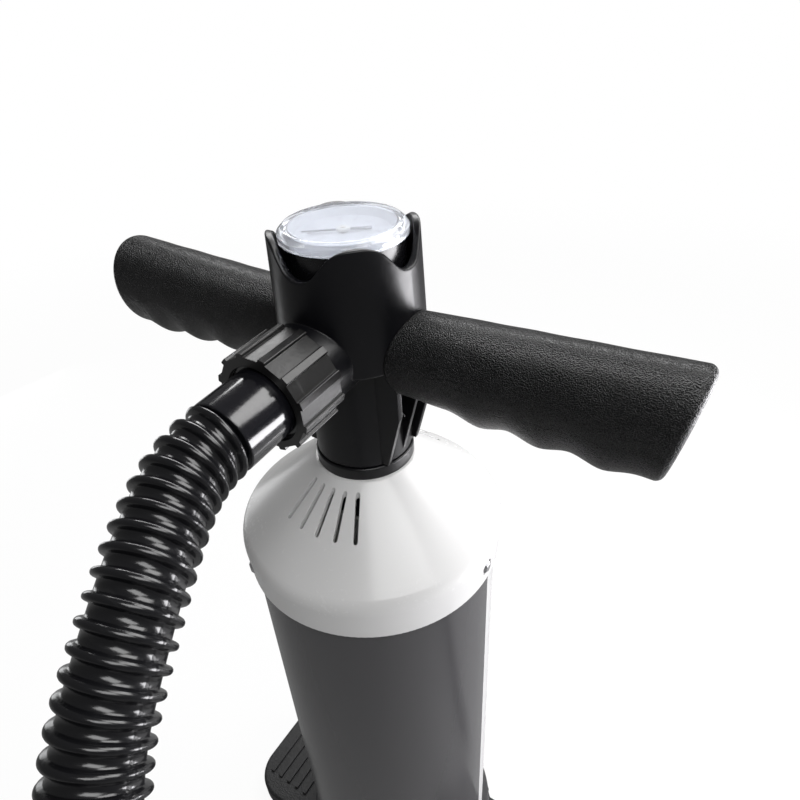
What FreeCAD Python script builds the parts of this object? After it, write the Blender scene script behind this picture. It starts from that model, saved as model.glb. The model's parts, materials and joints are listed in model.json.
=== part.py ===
import FreeCAD, Part
import Sketcher
import math
import os

# Double action hand pump: a foot base with a large barrel, a top head under a vented cap,
# and a T handle that carries the gauge and the hose outlet and drives the piston through a
# hollow rod. Origin: centre of the base on the floor. +Z up, handle along X, outlet to -Y.
# Millimetres. Change a number in drivingSizes and every piece that meets it follows.

drivingSizes = {
    # fits
    "runningFit": 0.05, "pressGap": 0.1, "bodyGap": 0.3,
    # foot base
    "wingSpan": 258, "wingDepth": 96, "wingCorner": 26, "plateHeight": 15, "plateSkin": 4,
    "skirtWall": 3.5, "ribWall": 2.4, "socketFlare": 2.5, "discMargin": 1.9, "socketFloor": 20,
    "socketHeight": 32, "socketWall": 5.5, "plugHeight": 18, "plugWall": 6, "ringGroove": 2,
    "ringHeight": 3, "treadHeight": 1.6, "treadWidth": 3, "treadMargin": 10, "treadCount": 5,
    "wellRadius": 26, "ventWidth": 16, "ventHeight": 5, "footPortRing": 13, "footValveRadius": 20,
    # barrel
    "barrelRadius": 64, "barrelWall": 3, "barrelLength": 344,
    # top head, cap and rod guide
    "headPlug": 20, "headPlate": 6, "headFlange": 3, "headBossRadius": 22, "headBossHeight": 36,
    "headPortRing": 39, "headValveReach": 8, "capSkirtRadius": 67.5, "capSkirtDraft": 1.2,
    "capSkirtLap": 15, "capShoulderRise": 5.7, "capRise": 37.3, "capTopRadius": 25, "capWall": 2.8,
    "capShoulderRound": 9, "slotInner": 28.5, "slotOuter": 46.2, "slotWidth": 2.1, "slotPitch": 12,
    "slotCount": 5, "slotTurn": 3, "collarRadius": 23.6, "collarHeight": 6,
    "capScrewDrop": 5, "baseScrewRise": 11, "screwRadius": 2, "screwHeadRadius": 3.3,
    "screwHeadHeight": 1.8, "screwLength": 11,
    # rod and piston
    "rodRadius": 15, "rodWall": 2.5, "rodSeat": 4, "pistonRest": 20, "pistonPlate": 6,
    "pistonHub": 12, "pistonHubRadius": 21, "sealHeight": 8, "sealWall": 9, "valveThick": 1.4,
    "valveLift": 1.5, "portRadius": 4, "pinRadius": 2, "upperPortRing": 21, "lowerPortRing": 15,
    # handle
    "columnRadius": 22.8, "columnLength": 53.2, "hubRadius": 32.2, "crownRadius": 30.4,
    "crownHeight": 52.8, "crownWall": 3, "crownRound": 0.7, "valleyDepth": 12.6, "valleyRound": 9.2,
    "petalRound": 11.4, "valleySlope": 50, "pocketDepth": 23.3, "chamberRadius": 11,
    "gaugePortRadius": 6, "rodTopDrop": 11.5, "armDrop": 0.5, "armRadius": 13, "armLength": 118,
    "gripHalfWidth": 19, "gripTop": 21.4, "gripRise": 0.049, "gripBottom": 19.3, "gripFall": 0.033,
    "fingerFirst": 66, "fingerPitch": 24.2, "fingerDepth": 3.2, "gripLength": 137.6,
    "gripEndAngle": 11.6, "gripEndRound": 3.2, "finThick": 2.2, "finSpacing": 12, "finReach": 9.2,
    "finRise": 35,
    # outlet, nut and hose
    "outletRise": 7, "outletTilt": 4, "outletBossRadius": 18.4, "spigotRadius": 17.9,
    "spigotEnd": 52, "outletBore": 11, "nutStart": 36, "nutEnd": 59.2, "nutRadius": 20.4,
    "nutRibRadius": 21.3, "nutRibWidth": 3.4, "nutRibs": 12, "nutTurn": 15, "nutLipRadius": 16.1,
    "nutLip": 1.9, "gasketThick": 2, "cuffRadius": 14.8, "cuffEnd": 80.6, "cuffBore": 11,
    "cuffFlange": 3, "hoseRadius": 15.2, "hoseWall": 3.4, "endCuffLength": 38,
    "adapterLength": 34, "adapterRadius": 15.6, "adapterNose": 11,
    # gauge
    "lensProud": 1.3, "lensRadius": 26.2, "lensHeight": 5.4, "lensFace": 1.7, "lensChamfer": 2.2,
    "caseRadius": 24.6, "caseWall": 1.8, "dialRadius": 22.2, "dialThick": 0.8, "dialFlat": 19.6,
    "dialRimWall": 0.6, "needleThick": 0.5, "needleReach": 16.5, "needleTail": 11.3,
    "needleHub": 2.6, "needleTurn": 215, "arborRadius": 1, "stemRadius": 5.8, "stemLength": 14,
}

# Hose route from the cuff to the floor and round the right side of the base.
hoseRoute = [
    (0, -80.8, 467.85), (0, -92.2, 467.05), (4.5, -109.8, 462.4), (17.9, -139.4, 449.3),
    (28.9, -172.5, 420.9), (52.6, -194.7, 389.1), (77.2, -202.8, 347.1), (92, -212, 282),
    (106, -232, 204), (132, -251, 128), (186, -269, 60), (272, -276, 21), (362, -233, 15.8),
    (408, -143, 15.8), (390, -40, 15.8), (316, 33, 15.8), (213, 52, 15.8),
]

doc = FreeCAD.newDocument("HandPump")
sheet = doc.addObject("Spreadsheet::Sheet", "Sizes")


class Size:
    """A number that also knows its expression in the sheet."""

    def __init__(self, value, text):
        self.value = float(value)
        self.text = text

    def __add__(self, other):
        other = asSize(other)
        return Size(self.value + other.value, f"({self.text} + {other.text})")

    def __sub__(self, other):
        other = asSize(other)
        return Size(self.value - other.value, f"({self.text} - {other.text})")

    def __mul__(self, other):
        other = asSize(other)
        return Size(self.value * other.value, f"({self.text} * {other.text})")

    def __truediv__(self, other):
        other = asSize(other)
        return Size(self.value / other.value, f"({self.text} / {other.text})")

    def __neg__(self):
        return Size(-self.value, f"(0 - {self.text})")


def asSize(number):
    if isinstance(number, Size):
        return number
    return Size(number, f"{number:.9g}" if number >= 0 else f"(0 - {-number:.9g})")


def fillSheet():
    for row, (name, value) in enumerate(drivingSizes.items(), start=1):
        sheet.set(f"A{row}", name)
        sheet.set(f"B{row}", str(value))
        sheet.setAlias(f"B{row}", name)
    doc.recompute()
    return {name: Size(sheet.get(name), f"Sizes.{name}") for name in drivingSizes}


size = fillSheet()


def bind(item, **properties):
    for name, amount in properties.items():
        item.setExpression(name, asSize(amount).text)
    return item


def place(item, x=0, y=0, z=0, axis=(0, 0, 1), angle=0):
    """Sets a piece's place; the numbers may be sizes of the sheet."""
    spot = [asSize(x), asSize(y), asSize(z)]
    turn = asSize(angle)
    item.Placement = FreeCAD.Placement(
        FreeCAD.Vector(*[part.value for part in spot]),
        FreeCAD.Rotation(FreeCAD.Vector(*axis), turn.value))
    for letter, part in zip("xyz", spot):
        item.setExpression(f"Placement.Base.{letter}", part.text)
    if isinstance(angle, Size):
        item.setExpression("Placement.Rotation.Angle", f"{turn.text} * 1 deg")
    return item


def onOutlet(item, distance=0):
    """Turns a piece made along +Z onto the outlet axis, distance from the pump's axis."""
    tilt = math.radians(size["outletTilt"].value)
    along = asSize(distance)
    return place(item, 0, along * -math.cos(tilt), outletHeight - along * math.sin(tilt),
                 axis=(1, 0, 0), angle=size["outletTilt"] + 90)


def newBody(label):
    body = doc.addObject("PartDesign::Body", label)
    body.Label = label
    return body


def originPart(body, role):
    return next(item for item in body.Origin.OriginFeatures if item.Role == role)


def drawOutline(sketch, points):
    """Closed outline. A point is (across, up) or (across, up, corner radius)."""
    points = [tuple(asSize(number) for number in point) for point in points]
    corners = [FreeCAD.Vector(point[0].value, point[1].value, 0) for point in points]
    count = len(points)
    starts, ends, arcs = list(corners), list(corners), {}
    for index, point in enumerate(points):
        if len(point) == 3:
            back = (corners[index - 1] - corners[index]).normalize()
            ahead = (corners[(index + 1) % count] - corners[index]).normalize()
            halfAngle = back.getAngle(ahead) / 2
            cutBack = point[2].value / math.tan(halfAngle)
            middle = (back + ahead).normalize()
            centre = corners[index] + middle * (point[2].value / math.sin(halfAngle))
            starts[index] = corners[index] + ahead * cutBack
            ends[index] = corners[index] + back * cutBack
            fromCentre, toCentre = ends[index] - centre, starts[index] - centre
            turnsLeft = fromCentre.cross(toCentre).z > 0
            first, last = (fromCentre, toCentre) if turnsLeft else (toCentre, fromCentre)
            circle = Part.Circle(centre, FreeCAD.Vector(0, 0, 1), point[2].value)
            arcs[index] = (turnsLeft, Part.ArcOfCircle(
                circle, math.atan2(first.y, first.x), math.atan2(last.y, last.x)))
    lines = [sketch.addGeometry(Part.LineSegment(starts[index], ends[(index + 1) % count]), False)
             for index in range(count)]
    constraints = []
    for index, point in enumerate(points):
        before, after = lines[index - 1], lines[index]
        if index in arcs:
            turnsLeft, shape = arcs[index]
            arc = sketch.addGeometry(shape, False)
            corner = sketch.addGeometry(Part.Point(corners[index]), True)
            first, second = (1, 2) if turnsLeft else (2, 1)
            sketch.addConstraint(Sketcher.Constraint("Tangent", before, 2, arc, first))
            sketch.addConstraint(Sketcher.Constraint("Tangent", arc, second, after, 1))
            constraints.append((Sketcher.Constraint("Radius", arc, point[2].value), point[2]))
            sketch.addConstraint(Sketcher.Constraint("PointOnObject", corner, 1, before))
            sketch.addConstraint(Sketcher.Constraint("PointOnObject", corner, 1, after))
            held = (corner, 1)
        else:
            sketch.addConstraint(Sketcher.Constraint("Coincident", before, 2, after, 1))
            held = (after, 1)
        for kind, amount in (("DistanceX", point[0]), ("DistanceY", point[1])):
            constraints.append((Sketcher.Constraint(kind, -1, 1, held[0], held[1], amount.value), amount))
    for constraint, amount in constraints:
        number = sketch.addConstraint(constraint)
        sketch.setExpression(f"Constraints[{number}]", amount.text)


def newSketch(body, name, role, points=()):
    sketch = body.newObject("Sketcher::SketchObject", name)
    sketch.AttachmentSupport = [(originPart(body, role), "")]
    sketch.MapMode = "FlatFace"
    if points:
        drawOutline(sketch, points)
    return sketch


def turned(label, points):
    """A piece turned about Z from its (radius, height) outline."""
    body = newBody(label)
    sketch = newSketch(body, label + "_outline", "XZ_Plane", points)
    turn = body.newObject("PartDesign::Revolution", label + "_turn")
    turn.Profile = sketch
    turn.ReferenceAxis = (sketch, ["V_Axis"])
    turn.Angle = 360
    sketch.Visibility = False
    return body


def ring(label, inner, outer, bottom, top):
    return turned(label, [(inner, bottom), (outer, bottom), (outer, top), (inner, top)])


def padded(label, role, points, length, bothWays=False):
    """A piece padded from an outline on one of its own planes."""
    body = newBody(label)
    sketch = newSketch(body, label + "_outline", role, points)
    pad = body.newObject("PartDesign::Pad", label + "_pad")
    pad.Profile = sketch
    pad.Midplane = bothWays
    pad.Length = asSize(length).value
    bind(pad, Length=length)
    sketch.Visibility = False
    return body


def cylinder(label, radius, height):
    item = doc.addObject("Part::Cylinder", label)
    return bind(item, Radius=radius, Height=height)


def box(label, length, width, height):
    item = doc.addObject("Part::Box", label)
    return bind(item, Length=length, Width=width, Height=height)


def fused(label, items):
    item = doc.addObject("Part::MultiFuse", label)
    item.Shapes = items
    return item


def cut(label, base, tools):
    item = doc.addObject("Part::Cut", label)
    item.Base = base
    item.Tool = tools[0] if len(tools) == 1 else fused(label + "_cutters", tools)
    return item


def common(label, items):
    item = doc.addObject("Part::MultiCommon", label)
    item.Shapes = items
    return item


def around(count, start=0, step=None):
    """Directions round the pump's axis, as (number, cosine, sine, degrees)."""
    step = 360 / count if step is None else step
    for number in range(count):
        angle = start + number * step
        yield number, math.cos(math.radians(angle)), math.sin(math.radians(angle)), angle


def drillRing(label, count, pitchRadius, holeRadius, bottom, height, start=0):
    drills = []
    for number, cosine, sine, _ in around(count, start):
        drill = cylinder(f"{label}_{number}", holeRadius, height)
        drills.append(place(drill, pitchRadius * cosine, pitchRadius * sine, bottom))
    return drills



def radial(item, distance, cosine, sine, height):
    """Turns a piece made along +Z to point away from the pump's axis."""
    return place(item, distance * cosine, distance * sine, height, axis=(-sine, cosine, 0), angle=90)


def radialDrills(label, radius, start, length, height):
    drills = []
    for number, cosine, sine, _ in around(3):
        drill = cylinder(f"{label}_{number}", radius, length)
        drills.append(radial(drill, start, cosine, sine, height))
    return drills


def grouped(label, items):
    item = doc.addObject("Part::Compound", label)
    item.Links = items
    return item


def rounded(label, base, radius, picks):
    """Rounds the edges that picks() accepts."""
    doc.recompute()
    item = doc.addObject("Part::Fillet", label)
    item.Base = base
    item.Edges = [(number, radius.value, radius.value)
                  for number, edge in enumerate(base.Shape.Edges, start=1) if picks(edge)]
    return item


def panScrews(label, seat, height):
    """Three pan-head screws that point at the pump's axis from a seat radius."""
    headRadius, headHeight = size["screwHeadRadius"], size["screwHeadHeight"]
    screws = []
    for number, cosine, sine, _ in around(3):
        screw = turned(f"{label}_{number}", [
            (0, -size["screwLength"]), (size["screwRadius"], -size["screwLength"]),
            (size["screwRadius"], 0), (headRadius, 0), (headRadius, headHeight * 0.45),
            (headRadius * 0.6, headHeight), (0, headHeight)])
        screws.append(radial(screw, seat, cosine, sine, height))
    return grouped(label, screws)


gap, seatGap, runFit = size["bodyGap"], size["pressGap"], size["runningFit"]
boreRadius = size["barrelRadius"] - size["barrelWall"]
screwHole = size["screwRadius"] + seatGap
plugRadius = boreRadius - seatGap - runFit
socketOuter = size["barrelRadius"] + seatGap + size["socketWall"]

# heights, from the floor up
barrelTop = size["socketFloor"] + size["barrelLength"]
baseScrewHeight = size["socketFloor"] + size["baseScrewRise"]
capScrewHeight = barrelTop - size["capScrewDrop"]
capShoulder = barrelTop + size["capShoulderRise"]
capTop = capShoulder + size["capRise"]
columnBottom = capTop + size["collarHeight"] + gap
ledgeHeight = columnBottom + size["columnLength"]
armHeight = ledgeHeight - size["armDrop"]
rodTop = ledgeHeight - size["rodTopDrop"]
outletHeight = ledgeHeight + size["outletRise"]
petalTop = ledgeHeight + size["crownHeight"]
pocketFloor = petalTop - size["pocketDepth"]
lensTop = petalTop + size["lensProud"]


ringLift = size["plugHeight"] * 0.22
grooveFloor = plugRadius - size["ringGroove"]


def sealRing(label, bottom):
    return ring(label, grooveFloor + runFit, boreRadius - runFit,
                bottom + runFit, bottom + size["ringHeight"] - runFit)


def makeFootBase():
    plate, skin, skirt = size["plateHeight"], size["plateSkin"], size["skirtWall"]
    halfSpan, halfDepth, corner = size["wingSpan"] / 2, size["wingDepth"] / 2, size["wingCorner"]
    flare, ribWall = size["socketFlare"], size["ribWall"]
    discRadius = socketOuter + flare + size["discMargin"]

    def footprint(label, inset, height):
        across, deep, bend = halfSpan - inset, halfDepth - inset, corner - inset
        wings = padded(label + "_wings", "XY_Plane", [
            (-across, -deep, bend), (across, -deep, bend), (across, deep, bend),
            (-across, deep, bend)], height)
        disc = cylinder(label + "_disc", discRadius - inset, height)
        return fused(label, [wings, disc])

    outer = footprint("base_outer", 0, plate)
    topEdges = rounded("base_outer_round", outer, size["skirtWall"] * 0.7,
                       lambda edge: edge.BoundBox.ZMin > plate.value - 0.01)
    hollow = footprint("base_hollow", skirt, plate - skin)
    ribs = []
    for number in range(-4, 5):
        rib = box(f"base_cross_rib_{number + 4}", ribWall, size["wingDepth"], plate)
        ribs.append(place(rib, size["wingSpan"] * (number / 9.5) - ribWall / 2, -halfDepth))
    for number in range(-1, 2):
        rib = box(f"base_long_rib_{number + 1}", size["wingSpan"], ribWall, plate)
        ribs.append(place(rib, -halfSpan, halfDepth * (number * 0.55) - ribWall / 2))
    ribs = common("base_ribs", [fused("base_rib_grid", ribs), hollow])
    floorPad = cylinder("base_floor_pad", socketOuter + flare, size["socketFloor"] - plate + skin)
    place(floorPad, 0, 0, plate - skin)
    socketTop = size["socketFloor"] + size["socketHeight"]
    socket = turned("base_socket", [
        (size["barrelRadius"] + seatGap, plate), (socketOuter + flare, plate),
        (socketOuter, plate + flare * 3), (socketOuter, socketTop, 1.5),
        (size["barrelRadius"] + seatGap, socketTop)])
    plugTop = size["socketFloor"] + size["plugHeight"]
    groove = size["socketFloor"] + ringLift
    plug = turned("base_plug", [
        (plugRadius - size["plugWall"], plate), (plugRadius, plate), (plugRadius, groove),
        (grooveFloor, groove), (grooveFloor, groove + size["ringHeight"]),
        (plugRadius, groove + size["ringHeight"]),
        (plugRadius, plugTop), (plugRadius - size["plugWall"], plugTop)])
    gussets = []
    for number, cosine, sine, angle in around(4, 45):
        gusset = padded(f"base_gusset_{number}", "XZ_Plane", [
            (socketOuter - 1, plate - 1), (discRadius, plate - 1),
            (discRadius, plate + 3), (socketOuter - 1, socketTop - 8)], ribWall * 1.25, True)
        gussets.append(place(gusset, 0, 0, 0, angle=angle))
    treads = []
    firstTread = discRadius + size["treadMargin"] * 0.6
    count = int(size["treadCount"].value)
    pitch = (halfSpan - size["treadMargin"] - size["treadWidth"] - firstTread) / (count - 1)
    for side in (-1, 1):
        for number in range(count):
            start = firstTread + pitch * number
            tread = box(f"base_tread_{side + 1}_{number}", size["treadWidth"],
                        size["wingDepth"] - size["treadMargin"] * 3, size["treadHeight"] + 1)
            across = start if side > 0 else -(start + size["treadWidth"])
            treads.append(place(tread, across, size["treadMargin"] * 1.5 - halfDepth, plate - 1))
    whole = fused("base_whole", [
        cut("base_shell", topEdges, [hollow]), ribs, floorPad, socket, plug] + gussets + treads)
    ports = drillRing("base_port", 6, size["footPortRing"], size["portRadius"], 0,
                      size["socketFloor"] + 1)
    ports += drillRing("base_pin_hole", 1, 0, size["pinRadius"] + seatGap, 0, size["socketFloor"] + 1)
    well = cylinder("base_well", size["wellRadius"], plate - skin)
    screws = radialDrills("base_screw_hole", screwHole, boreRadius - size["plugWall"] - 3, 30,
                          baseScrewHeight)
    wide, high = size["ventWidth"], size["ventHeight"]
    longVent = place(box("base_vent_long", size["wingSpan"], wide, high), -halfSpan, -wide / 2)
    crossVent = place(box("base_vent_cross", wide, size["wingSpan"], high), -wide / 2, -halfSpan)
    return cut("foot_base", whole, ports + [well] + screws + [longVent, crossVent])


def makeBasePieces():
    floorTop = size["socketFloor"]
    seal = sealRing("base_seal_ring", floorTop + ringLift)
    flap = ring("base_intake_valve", size["pinRadius"] + gap, size["footValveRadius"],
                floorTop + seatGap, floorTop + seatGap + size["valveThick"])
    pin = liftPin("base_valve_pin", floorTop, size["plateSkin"] + 5)
    screws = panScrews("base_screws", socketOuter + runFit, baseScrewHeight)
    return [seal, flap, pin, screws]


def liftPin(label, seat, depth):
    """A pin with a head that stops a valve disc at its lift."""
    headBottom = seat + seatGap + size["valveThick"] + size["valveLift"] + seatGap
    return turned(label, [
        (0, seat - depth), (size["pinRadius"], seat - depth),
        (size["pinRadius"], headBottom), (size["pinRadius"] + 3, headBottom),
        (size["pinRadius"] + 3, headBottom + 1.2), (0, headBottom + 1.2)])


def makeBarrel():
    tube = ring("barrel_tube_blank", boreRadius, size["barrelRadius"], size["socketFloor"], barrelTop)
    holes = []
    for label, height in (("barrel_top_hole", capScrewHeight), ("barrel_foot_hole", baseScrewHeight)):
        holes += radialDrills(label, screwHole, boreRadius - 5, 15, height)
    return cut("barrel_tube", tube, holes)


def makeTopHead():
    plateBottom = barrelTop - size["headPlug"]
    plateTop = plateBottom + size["headPlate"]
    flangeTop = barrelTop + size["headFlange"]
    plugInner = plugRadius - size["plugWall"]
    boss, bore = size["headBossRadius"], size["rodRadius"] + 1
    pocket = boss - 2
    bossTop = plateBottom + size["headBossHeight"]
    sealSeat = bossTop - 14
    groove = plateTop + 0.5
    head = turned("top_head_blank", [
        (bore, plateBottom - 2.5), (boss + 2, plateBottom - 2.5), (boss + 2, plateBottom),
        (plugRadius, plateBottom), (plugRadius, groove), (grooveFloor, groove),
        (grooveFloor, groove + size["ringHeight"]), (plugRadius, groove + size["ringHeight"]),
        (plugRadius, barrelTop),
        (size["barrelRadius"], barrelTop), (size["barrelRadius"], flangeTop),
        (plugInner, flangeTop), (plugInner, plateTop), (boss, plateTop), (boss, bossTop),
        (pocket, bossTop), (pocket, sealSeat), (bore, sealSeat)])
    ports = drillRing("head_port", 8, size["headPortRing"], size["portRadius"], plateBottom - 1,
                      size["headPlate"] + 2)
    screws = radialDrills("head_screw_hole", screwHole, plugInner - 5, 20, capScrewHeight)
    ribs = []
    for number, _, _, angle in around(8, 22.5):
        rib = padded(f"head_rib_{number}", "XZ_Plane", [
            (boss - 1, plateTop - 1), (plugInner + 1, plateTop - 1),
            (plugInner + 1, plateTop + 6), (boss - 1, bossTop - 8)], 2, True)
        ribs.append(place(rib, 0, 0, 0, angle=angle))
    body = cut("top_head", fused("top_head_ribbed", [head] + ribs), ports + screws)
    seal = sealRing("top_head_seal", groove)
    flap = ring("top_intake_valve", boss + 2 + gap, size["headPortRing"] + size["headValveReach"],
                plateBottom - seatGap - size["valveThick"], plateBottom - seatGap)
    rodSeal = ring("rod_seal", size["rodRadius"] + runFit, pocket - runFit, sealSeat + runFit, sealSeat + 6)
    collarTop = capTop + size["collarHeight"]
    collar = turned("rod_guide_collar", [
        (size["rodRadius"] + runFit, sealSeat + 6 + runFit), (pocket - seatGap, sealSeat + 6 + runFit),
        (pocket - seatGap, capTop + runFit), (size["collarRadius"], capTop + runFit),
        (size["collarRadius"], collarTop, 0.8), (size["rodRadius"] + runFit, collarTop)])
    return [body, seal, flap, rodSeal, collar]


def makeTopCap():
    shoulder, crest = size["capSkirtRadius"], capTop
    inner = size["barrelRadius"] + gap
    seat = barrelTop + size["headFlange"] + runFit
    slope = size["capRise"] / (shoulder - size["capTopRadius"])
    drop = size["capWall"] * 1.32
    neck = size["headBossRadius"] - 2 + seatGap
    ledge = size["barrelRadius"] - 3.5
    innerCone = crest - drop - slope * (ledge - size["capTopRadius"])
    bottom = barrelTop - size["capSkirtLap"]
    cap = turned("top_cap_blank", [
        (shoulder - size["capSkirtDraft"], bottom, 0.7),
        (shoulder, capShoulder, size["capShoulderRound"]),
        (size["capTopRadius"], crest, 1.5), (neck, crest), (neck, crest - drop),
        (size["capTopRadius"], crest - drop), (ledge, innerCone), (ledge, seat), (inner, seat),
        (inner, bottom)])
    slots = []
    width = size["slotWidth"]
    span = (size["slotCount"].value - 1) / 2 * size["slotPitch"].value
    for facing in (-90, 90):
        first = facing + size["slotTurn"].value - span
        for number, _, _, angle in around(int(size["slotCount"].value), first, size["slotPitch"].value):
            slot = padded(f"vent_slot_{facing + 90}_{number}", "XY_Plane", [
                (size["slotInner"], -width / 2, width * 0.49),
                (size["slotOuter"], -width / 2, width * 0.49),
                (size["slotOuter"], width / 2, width * 0.49),
                (size["slotInner"], width / 2, width * 0.49)], 40)
            slots.append(place(slot, 0, 0, seat + 5, angle=angle))
    seatRadius = shoulder - 1.6
    holes = radialDrills("cap_screw_hole", screwHole, size["barrelRadius"] - 4, 12, capScrewHeight)
    holes += radialDrills("cap_screw_recess", size["screwHeadRadius"] + 0.9, seatRadius, 6,
                          capScrewHeight)
    cap = cut("top_cap", cap, slots + holes)
    return [cap, panScrews("cap_screws", seatRadius + runFit, capScrewHeight)]


def makePiston():
    lower, plate = size["socketFloor"] + size["pistonRest"], size["pistonPlate"]
    lowerTop = lower + plate
    upper = lowerTop + size["sealHeight"]
    upperTop = upper + plate
    rodBottom = upperTop - size["rodSeat"]
    edge = boreRadius - gap * 2
    airway = size["rodRadius"] - size["rodWall"]
    hub, hubTop = size["pistonHubRadius"], upperTop + size["pistonHub"]
    upperRing = airway + size["upperPortRing"]
    valveReach = size["portRadius"] + 3
    valveSeat = upperRing - valveReach
    sealInner = boreRadius - size["sealWall"]
    screwRing = sealInner - 4
    upperPlate = turned("piston_upper_blank", [
        (airway, upper - 3), (valveSeat, upper - 3), (valveSeat, upper), (edge, upper),
        (edge, upperTop, 1), (hub, upperTop), (hub, hubTop, 1.5), (size["rodRadius"] + seatGap, hubTop),
        (size["rodRadius"] + seatGap, rodBottom), (airway, rodBottom)])
    bores = drillRing("piston_upper_port", 8, upperRing, size["portRadius"] - 0.5, upper - 1, plate + 2)
    bores += drillRing("piston_upper_bolt", 6, screwRing, screwHole, upper - 1, plate + 2, 22.5)
    crossHole = cylinder("piston_cross_hole", size["pinRadius"] + seatGap, hub * 2 + 4)
    bores.append(place(crossHole, -(hub + 2), 0, hubTop - 6, axis=(0, 1, 0), angle=90))
    upperPlate = cut("piston_upper", upperPlate, bores)
    lowerPlate = turned("piston_lower_blank", [
        (size["pinRadius"] + seatGap, lower), (edge, lower, 1), (edge, lowerTop),
        (sealInner - seatGap, lowerTop), (sealInner - seatGap, upper - seatGap),
        (screwRing - 4, upper - seatGap), (screwRing - 4, lowerTop), (size["pinRadius"] + seatGap, lowerTop)])
    lowerRing = size["lowerPortRing"]
    bores = drillRing("piston_lower_port", 6, lowerRing, size["portRadius"], lower - 1, plate + 2)
    bores += drillRing("piston_lower_bolt", 6, screwRing, screwHole, lowerTop, size["sealHeight"], 22.5)
    lowerPlate = cut("piston_lower", lowerPlate, bores)
    wiper = boreRadius - runFit
    seal = turned("piston_seal", [
        (sealInner, lowerTop + runFit), (wiper, lowerTop + runFit), (wiper, lowerTop + 2.6),
        (wiper - 1.6, lowerTop + size["sealHeight"] / 2), (wiper, upper - 2.6), (wiper, upper - runFit),
        (sealInner, upper - runFit)])
    upperValve = ring("piston_upper_valve", valveSeat + gap, upperRing + valveReach,
                      upper - seatGap - size["valveThick"], upper - seatGap)
    lowerValve = ring("piston_lower_valve", size["pinRadius"] + gap, lowerRing + valveReach,
                      lowerTop + seatGap, lowerTop + seatGap + size["valveThick"])
    pin = liftPin("piston_valve_pin", lowerTop, plate + 1)
    screws = []
    for number, cosine, sine, _ in around(6, 22.5):
        screw = turned(f"piston_screw_{number}", [
            (0, lowerTop + 1), (size["screwRadius"], lowerTop + 1), (size["screwRadius"], upperTop + runFit),
            (size["screwHeadRadius"], upperTop + runFit), (size["screwHeadRadius"], upperTop + 2, 0.6),
            (0, upperTop + 2)])
        screws.append(place(screw, screwRing * cosine, screwRing * sine))
    rod = ring("piston_rod_blank", airway, size["rodRadius"], rodBottom + runFit, rodTop)
    holes = []
    for label, height in (("rod_foot_hole", hubTop - 6), ("rod_top_hole", rodTop - 20)):
        hole = cylinder(label, size["pinRadius"] + seatGap, size["rodRadius"] * 2 + 4)
        holes.append(place(hole, -(size["rodRadius"] + 2), 0, height, axis=(0, 1, 0), angle=90))
    rod = cut("piston_rod", rod, holes)
    footPin = cylinder("rod_foot_pin", size["pinRadius"], hub * 2 - 1)
    place(footPin, -(hub - 0.5), 0, hubTop - 6, axis=(0, 1, 0), angle=90)
    topPin = cylinder("rod_top_pin", size["pinRadius"], size["columnRadius"] * 2 - 1)
    place(topPin, -(size["columnRadius"] - 0.5), 0, rodTop - 20, axis=(0, 1, 0), angle=90)
    return [rod, footPin, topPin, upperPlate, lowerPlate, seal, upperValve, lowerValve, pin,
            grouped("piston_screws", screws)]


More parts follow.
